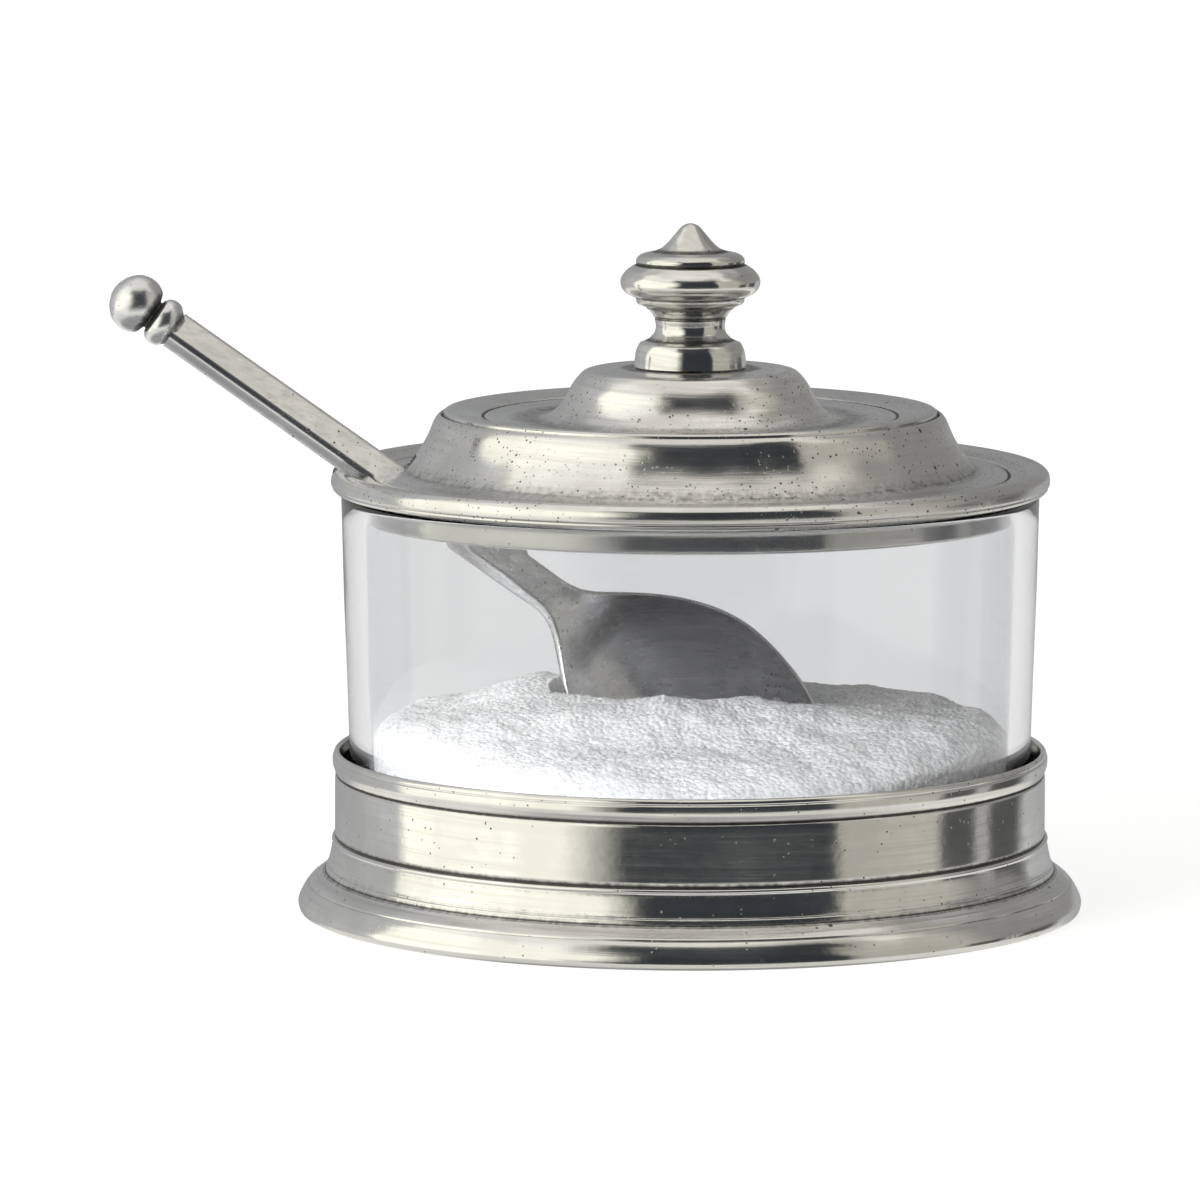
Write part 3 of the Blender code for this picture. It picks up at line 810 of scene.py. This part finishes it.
def frame_along(slope, roll):
    """The spoon's axes on a slope: along it, across its face, and out of its hollow side."""
    along = Vector((math.cos(slope), 0.0, -math.sin(slope)))
    upward = Vector((math.sin(slope), 0.0, math.cos(slope)))
    face = upward * math.cos(roll) + Vector((0.0, -1.0, 0.0)) * math.sin(roll)
    across = face.cross(along)
    return along, across, face


def bowl_width(t):
    """Half the width of the bowl, from its neck at -1 to its tip at 1."""
    egg = 1.0 + 0.10 * t - 0.36 * max(0.0, -t) ** 2
    return BOWL_HALF_WIDTH * math.sqrt(max(0.0, 1.0 - t * t)) * egg


def sugar_slot():
    """The room that the bowl of the spoon needs as it tilts."""
    along, across, face = frame_along(BOWL_SLOPE, BOWL_ROLL)
    points = []
    grow = BOWL_WALL + SUGAR_SLOT
    for i in range(41):
        t = math.cos(math.pi * i / 40)
        for k in range(25):
            angle = math.pi * k / 24
            q, depth = math.cos(angle), math.sin(angle)
            half = bowl_width(t)
            hollow = BOWL_DEPTH * math.sqrt(max(0.0, 1.0 - t * t)) * depth
            base = BOWL_CENTRE + along * t * (BOWL_HALF_LENGTH + grow) + across * q * (half + grow)
            points.append(base - face * (hollow + grow * depth))
            points.append(base + face * SUGAR_SLOT)
    hull = bmesh.new()
    for step in range(3):
        turn = Matrix.Rotation(-SLOT_TILT * step / 2, 4, "Y")
        for point in points:
            hull.verts.new((PIVOT + turn @ (point - PIVOT)) * MM)
    made = bmesh.ops.convex_hull(hull, input=hull.verts)
    inner = [g for g in made["geom_interior"] if isinstance(g, bmesh.types.BMVert)]
    bmesh.ops.delete(hull, geom=inner, context="VERTS")
    bmesh.ops.recalc_face_normals(hull, faces=hull.faces)
    return mesh_object("slot", hull)


def rounded_edge(inner, flat, bevel, side):
    """The rounded edge of a section: side 1 runs from front to back, side -1 from back to front."""
    points = []
    for degrees in (67.5, 45.0, 22.5, -22.5, -45.0, -67.5):
        a = math.radians(degrees)
        middle = flat if degrees > 0 else -flat
        points.append((side * (inner + bevel * math.cos(a)), side * (middle + bevel * math.sin(a))))
    return points


def section(centre, across, face, width, depth, bevel, dish):
    """One closed section of the spoon: its hollow side, its edge, its back and its other edge."""
    half_w, half_d = width / 2, depth / 2
    last = SECTION_COLUMNS - 1
    shares = [math.sin(math.pi / 2 * (2 * i / last - 1)) for i in range(SECTION_COLUMNS)]
    inner = half_w - bevel
    loop = [(q * inner, half_d - dish * (1 - q * q) ** BOWL_SWEEP) for q in shares]
    loop += rounded_edge(inner, half_d - bevel, bevel, 1)
    loop += [(-q * inner, -half_d - dish * (1 - q * q) ** BOWL_SWEEP) for q in shares]
    loop += rounded_edge(inner, half_d - bevel, bevel, -1)
    return [centre + across * a + face * f for a, f in loop]


def blend_value(a, b, share):
    """From a to b with a soft start and end, as the share goes from 0 to 1."""
    share = min(1.0, max(0.0, share))
    share = share * share * (3 - 2 * share)
    return a + (b - a) * share


def spoon_sections():
    """Sections from the collar, down the handle and through the neck to the tip of the bowl."""
    h_along = (HANDLE_END - HANDLE_TOP).normalized()
    slope = math.atan2(-h_along.z, h_along.x)
    b_along = frame_along(BOWL_SLOPE, BOWL_ROLL)[0]
    throat = BOWL_CENTRE - b_along * BOWL_HALF_LENGTH
    handle_length = (throat - HANDLE_TOP).length
    neck_from = handle_length - NECK_LENGTH
    made = []
    for i in range(HANDLE_STATIONS):
        s = handle_length * i / HANDLE_STATIONS
        share = s / handle_length
        bend = (s - neck_from) / (handle_length - neck_from)
        roll = blend_value(HANDLE_ROLL, BOWL_ROLL, bend)
        tilt = blend_value(slope, BOWL_SLOPE, bend - 0.3)
        along, across, face = frame_along(tilt, roll)
        width = blend_value(HANDLE_WIDTH + HANDLE_SPREAD * share, NECK_WIDTH, bend)
        depth = blend_value(HANDLE_DEPTH, NECK_DEPTH, bend)
        bevel = blend_value(HANDLE_BEVEL, NECK_BEVEL, bend)
        centre = HANDLE_TOP.lerp(throat, share)
        made.append(section(centre, across, face, width, depth, bevel, 0.0))
    along, across, face = frame_along(BOWL_SLOPE, BOWL_ROLL)
    for i in range(1, BOWL_ROWS + 1):
        t = min(0.9995, -math.cos(math.pi * i / BOWL_ROWS))
        neck = NECK_WIDTH / 2 * (1 - max(0.0, t))
        half = (neck**NECK_BLEND + bowl_width(t) ** NECK_BLEND) ** (1 / NECK_BLEND)
        depth = blend_value(NECK_DEPTH, BOWL_WALL, (t + 1) / 0.4)
        dish = BOWL_DEPTH * (1 - t * t) ** BOWL_SWEEP * blend_value(0.0, 1.0, (t + 1) / 0.35)
        bevel = min(half * 0.9, depth * 0.46)
        centre = BOWL_CENTRE + along * t * BOWL_HALF_LENGTH - face * (depth / 2)
        made.append(section(centre, across, face, 2 * max(half, 0.25), depth, bevel, dish))
    return made


EASE_REACH = 3.2  # how far a section near the throat looks for its neighbours
EASE_LENGTH = 11.0  # how far from the throat this goes on


def eased(rows):
    """Melts the neck into the bowl: each section near the throat becomes a mean of its neighbours."""
    points = np.array([[tuple(p) for p in row] for row in rows])
    centres = points.mean(axis=1)
    steps = np.linalg.norm(np.diff(centres, axis=0), axis=1)
    along = np.concatenate(([0.0], np.cumsum(steps)))
    throat = BOWL_CENTRE - frame_along(BOWL_SLOPE, BOWL_ROLL)[0] * BOWL_HALF_LENGTH
    middle = along[np.argmin(np.linalg.norm(centres - np.array(throat), axis=1))] + 1.0
    spacing = np.gradient(along)
    smoothed = points.copy()
    for i, s in enumerate(along):
        reach = EASE_REACH * max(0.0, 1.0 - ((s - middle) / EASE_LENGTH) ** 2)
        if reach > 0.1:
            weights = np.exp(-(((along - s) / reach) ** 2)) * spacing
            smoothed[i] = np.tensordot(weights / weights.sum(), points, axes=1)
    return [[Vector(p) for p in row] for row in smoothed]


def make_spoon():
    rows = eased(spoon_sections())
    bm = bmesh.new()
    rings = [[bm.verts.new(p * MM) for p in row] for row in rows]
    count = len(rings[0])
    for first, second in zip(rings, rings[1:]):
        for i in range(count):
            j = (i + 1) % count
            bm.faces.new((first[i], first[j], second[j], second[i]))
    for ring in (rings[0], rings[-1]):
        middle = bm.verts.new(sum((v.co for v in ring), Vector()) / count)
        for i in range(count):
            bm.faces.new((ring[i], ring[(i + 1) % count], middle))
    bmesh.ops.recalc_face_normals(bm, faces=bm.faces)
    spoon = mesh_object("spoon_detail", bm)
    knob = make_knob()
    material = pewter("pewter_spoon", (0.84, 0.84, 0.86), 0.31, False, 0.22)
    smooth(spoon, 38)
    knob.data.materials.append(material)
    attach(knob, "spoon")
    place_piece(spoon, material, "spoon", "spoon")


def make_knob():
    """The button and the collar, turned about the handle's own line."""
    button = [(0.9, 10.5), (2.4, 9.85), (3.7, 8.6), (4.25, 7.0), (4.1, 5.5), (3.4, 4.4), (2.3, 3.95)]
    collar = [(2.6, 3.5), (3.3, 2.95), (3.6, 2.0), (3.4, 1.0), (2.75, 0.3)]
    outline = [(0.0, 10.6)] + curve(button, 6) + curve([(2.15, 3.8), (2.2, 3.6)], 2)
    outline += curve(collar, 6) + [(2.0, -0.6), (0.0, -0.6)]
    knob = turned("spoon_knob", outline, KNOB_STEPS, longest=0.6, uneven=0.03, seed=21.0, reach=0.6)
    patina_and_shade_band(knob, 1.8, 4.1, 3.3, 5.0, 0.9)
    patina_and_shade_band(knob, 1.9, 3.2, -0.7, 0.7, 0.75)
    h_along = (HANDLE_END - HANDLE_TOP).normalized()
    turn = h_along.to_track_quat("-Z", "Y").to_matrix().to_4x4()
    knob.data.transform(Matrix.Translation(HANDLE_TOP * MM) @ turn)
    return smooth(knob)


# ------------------------------------------------------------------ lid


def lid_outline():
    """The lid's whole closed outline, from the screw hole over the top and back under."""
    shoulder = [(14.6, 79.1), (15.6, 78.75), (16.6, 77.75), (17.4, 76.6), (18.1, 75.2)]
    shoulder += [(18.9, 73.95), (19.9, 72.95), (21.2, 72.2), (23.2, 71.85)]
    boss = [(1.9, 79.2), (8.6, 79.2)] + curve([(8.7, 79.2), (12.0, 79.18), (14.3, 79.15)], 3)
    boss += curve(shoulder, 5)
    floor = curve([(23.6, 71.83), (26.0, 71.95), (29.6, 72.3)], 4) + groove(29.7, 72.31, 30.7, 72.45, 0.28)
    crest = curve([(30.9, 72.5), (33.0, 73.0), (34.6, 73.3), (35.5, 73.22), (35.95, 72.95)], 5)
    slope = [(36.45, 72.6), (36.95, 72.2), (37.45, 71.4), (37.95, 70.2)]
    slope += [(38.5, 69.0), (39.2, 67.8), (40.0, 66.6)]
    wall = [(35.96, 72.6), (36.0, 72.3), (36.15, 72.15), (36.32, 72.35)] + curve(slope, 5)
    cove = curve([(40.1, 66.46), (40.95, 65.36), (41.75, 64.56), (42.7, 64.15)], 6) + [(43.6, 64.02)]
    flange = groove(46.1, 63.9, 47.1, 63.9, 0.42) + curve([(47.2, 63.9), (48.8, 63.98), (49.8, 64.3)], 4)
    edge = curve([(49.9, 64.36), (50.7, 64.7), (51.6, 64.62), (52.3, 64.0), (52.5, 63.2), (52.45, 62.5)], 5)
    lip = groove(52.4, 62.35, 52.2, 61.85, 0.14) + curve([(52.15, 61.8), (51.8, 61.45), (51.3, 61.3)], 4)
    hollow = [(43.6, 61.4), (41.2, 62.4), (38.9, 64.4), (37.5, 67.0), (36.4, 69.4)]
    under = [(44.0, 61.3)] + curve(hollow, 4)
    inside = [(35.4, 70.9), (34.0, 71.3), (24.0, 70.1), (20.0, 70.1)]
    inside += [(17.6, 71.7), (16.1, 75.3), (14.4, 77.4), (1.9, 77.4)]
    return boss + floor + crest + wall + cove + flange + edge + lip + under + inside


NOTCH_CENTRE = Vector((-48.5, 0.0, 60.3))
NOTCH_SIZE = (25.0, 7.6, 12.6)
NOTCH_CORNER = 2.2


def notch_cutter(name):
    """The slot for the handle: open at the edge, with rounded inner corners."""
    bm = bmesh.new()
    size = Matrix.Diagonal((*[length * MM for length in NOTCH_SIZE], 1.0))
    bmesh.ops.create_cube(bm, size=1.0, matrix=Matrix.Translation(NOTCH_CENTRE * MM) @ size)
    inner_edges = []
    for edge in bm.edges:
        first, second = edge.verts
        upright = abs(first.co.z - second.co.z) > MM
        if upright and first.co.x > NOTCH_CENTRE.x * MM:
            inner_edges.append(edge)
    corner = NOTCH_CORNER * MM
    bmesh.ops.bevel(bm, geom=inner_edges, offset=corner, segments=6, affect="EDGES", profile=0.5)
    return mesh_object(name, bm)


DENTS = [
    # x, y, z, radius, depth, in millimetres
    (12.0, -37.0, 69.5, 5.0, 0.25),
    (-14.0, -36.5, 69.0, 6.0, 0.20),
    (27.0, -29.0, 69.0, 5.0, 0.25),
    (2.0, -39.5, 67.0, 4.0, 0.18),
    (-28.0, -27.0, 68.5, 6.0, 0.22),
    (33.0, -20.0, 70.0, 4.0, 0.20),
]


def dent(thing):
    """A few shallow knocks in the dome's wall."""
    for vert in thing.data.vertices:
        point = vert.co / MM
        push = 0.0
        for x, y, z, radius, depth in DENTS:
            gap = (point - Vector((x, y, z))).length / radius
            if gap < 1.0:
                push += depth * (1 - gap * gap) ** 2
        if push:
            inward = Vector((point.x, point.y, 0.0)).normalized()
            vert.co -= inward * push * MM


def polish_underside(thing):
    """Clears the patina from the points that face down: the underside shows bare metal."""
    layer = thing.data.attributes["crease"].data
    for vert, value in zip(thing.data.vertices, layer):
        if vert.normal.z < -0.1:
            value.value = 0.0


def make_lid():
    lid = turned("lid_cover_detail", lid_outline(), closed=True, longest=0.9, uneven=0.10, seed=14.0)
    dent(lid)
    patina_and_shade_band(lid, 6.9, 11.0, 79.0, 79.5, 0.74)
    # Painted shade: darkens the recess floor round the boss.
    patina_and_shade_band(lid, 20.0, 27.5, 71.0, 72.6, 0.60)
    polish_underside(lid)
    patina_and_shade_band(lid, 40.0, 43.4, 63.5, 66.6, 0.50)
    cut(lid, notch_cutter("lid_notch"))
    smooth(lid)
    metal = pewter("pewter_lid", pits=0.55, rough=0.22, worn_side=1.0)
    place_piece(lid, metal, "lid", "lid_cover")

    band = [(47.1, 61.0)] + arc(46.7, 57.9, 0.4, 0, -90, 6)
    band += arc(46.2, 57.8, 0.3, -90, -180, 5) + [(45.9, 61.0)]
    ring = turned("lid_ring_detail", band, closed=True, longest=0.8, uneven=0.02, seed=30.0)
    cut(ring, notch_cutter("ring_notch"))
    smooth(ring)
    # A darker copy of the pewter: painted shade on the ring under the flange.
    metal = pewter("pewter_lid_ring", (0.64, 0.635, 0.62), 0.15, pits=0.05)
    place_piece(ring, metal, "lid", "lid_locating_ring")


def make_finial():
    tip = [(0.45, 100.3), (1.25, 99.9), (2.4, 98.6), (3.25, 97.6), (4.2, 96.75), (5.2, 96.3)]
    cone = [(0.0, 100.35)] + curve(tip, 5)
    cap = curve([(5.4, 96.2), (6.4, 96.05), (7.3, 95.75), (7.85, 95.2), (7.9, 94.7)], 4)
    cap += groove(7.9, 94.6, 8.1, 94.25, 0.22)
    bulge = [(8.3, 94.2), (9.3, 93.5), (10.0, 92.6), (10.2, 91.8), (9.95, 90.9), (9.3, 90.2), (8.5, 89.8)]
    bead = curve(bulge, 5)
    fillet = groove(8.3, 89.7, 7.95, 89.5, 0.12) + [(7.9, 89.3), (7.85, 88.9)]
    neck = curve([(7.6, 88.6), (6.9, 88.35)], 2) + groove(6.8, 88.3, 6.4, 88.05, 0.10)
    neck += curve([(6.3, 87.95), (5.7, 87.4), (5.4, 86.9)], 4) + groove(5.35, 86.8, 5.18, 86.4, 0.14)
    neck += curve([(5.15, 86.2), (5.02, 85.3), (5.25, 84.4), (5.8, 83.75)], 5)
    neck += groove(5.85, 83.7, 6.2, 83.42, 0.14) + [(6.9, 83.1)]
    block = [(7.3, 82.95)] + curve([(7.5, 82.7), (7.9, 81.8), (8.1, 80.6), (8.2, 79.5)], 4)
    hole = [(1.8, 79.5), (1.8, 86.5), (0.0, 86.5)]
    outline = cone + cap + bead + fillet + neck + block + hole
    finial = turned("finial_detail", outline, FINIAL_STEPS, longest=0.5, seed=44.0, reach=0.5)
    patina_and_shade_band(finial, 4.2, 6.0, 96.0, 97.0, 0.85)
    patina_and_shade_band(finial, 7.6, 8.3, 94.1, 94.8, 0.9)
    patina_and_shade_band(finial, 7.7, 8.6, 89.3, 89.9, 0.8)
    patina_and_shade_band(finial, 6.0, 7.1, 87.8, 88.6, 0.7)
    patina_and_shade_band(finial, 5.0, 5.5, 86.2, 87.0, 0.8)
    patina_and_shade_band(finial, 5.6, 6.8, 83.2, 84.0, 0.9)
    smooth(finial)
    metal = pewter("pewter_finial", (0.74, 0.735, 0.72), 0.17, pits=0.04)
    place_piece(finial, metal, "lid", "finial_knob")


def dress_cad_nodes():
    """The pieces whose CAD shape is right keep it, with a better material."""
    dull = pewter("pewter_floor", (0.45, 0.44, 0.42), 0.45, False, 0.1)
    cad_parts["base_floor"].material_slots[0].material = dull
    for node in ("finial_screw", "finial_washer"):
        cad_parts[node].material_slots[0].material = brass(node + "_brass")


make_camera()
make_studio()
make_floor()
make_sun()
make_base()
make_glass()
make_sugar()
make_spoon()
make_lid()
make_finial()
dress_cad_nodes()
bpy.context.scene.view_settings.view_transform = "Standard"
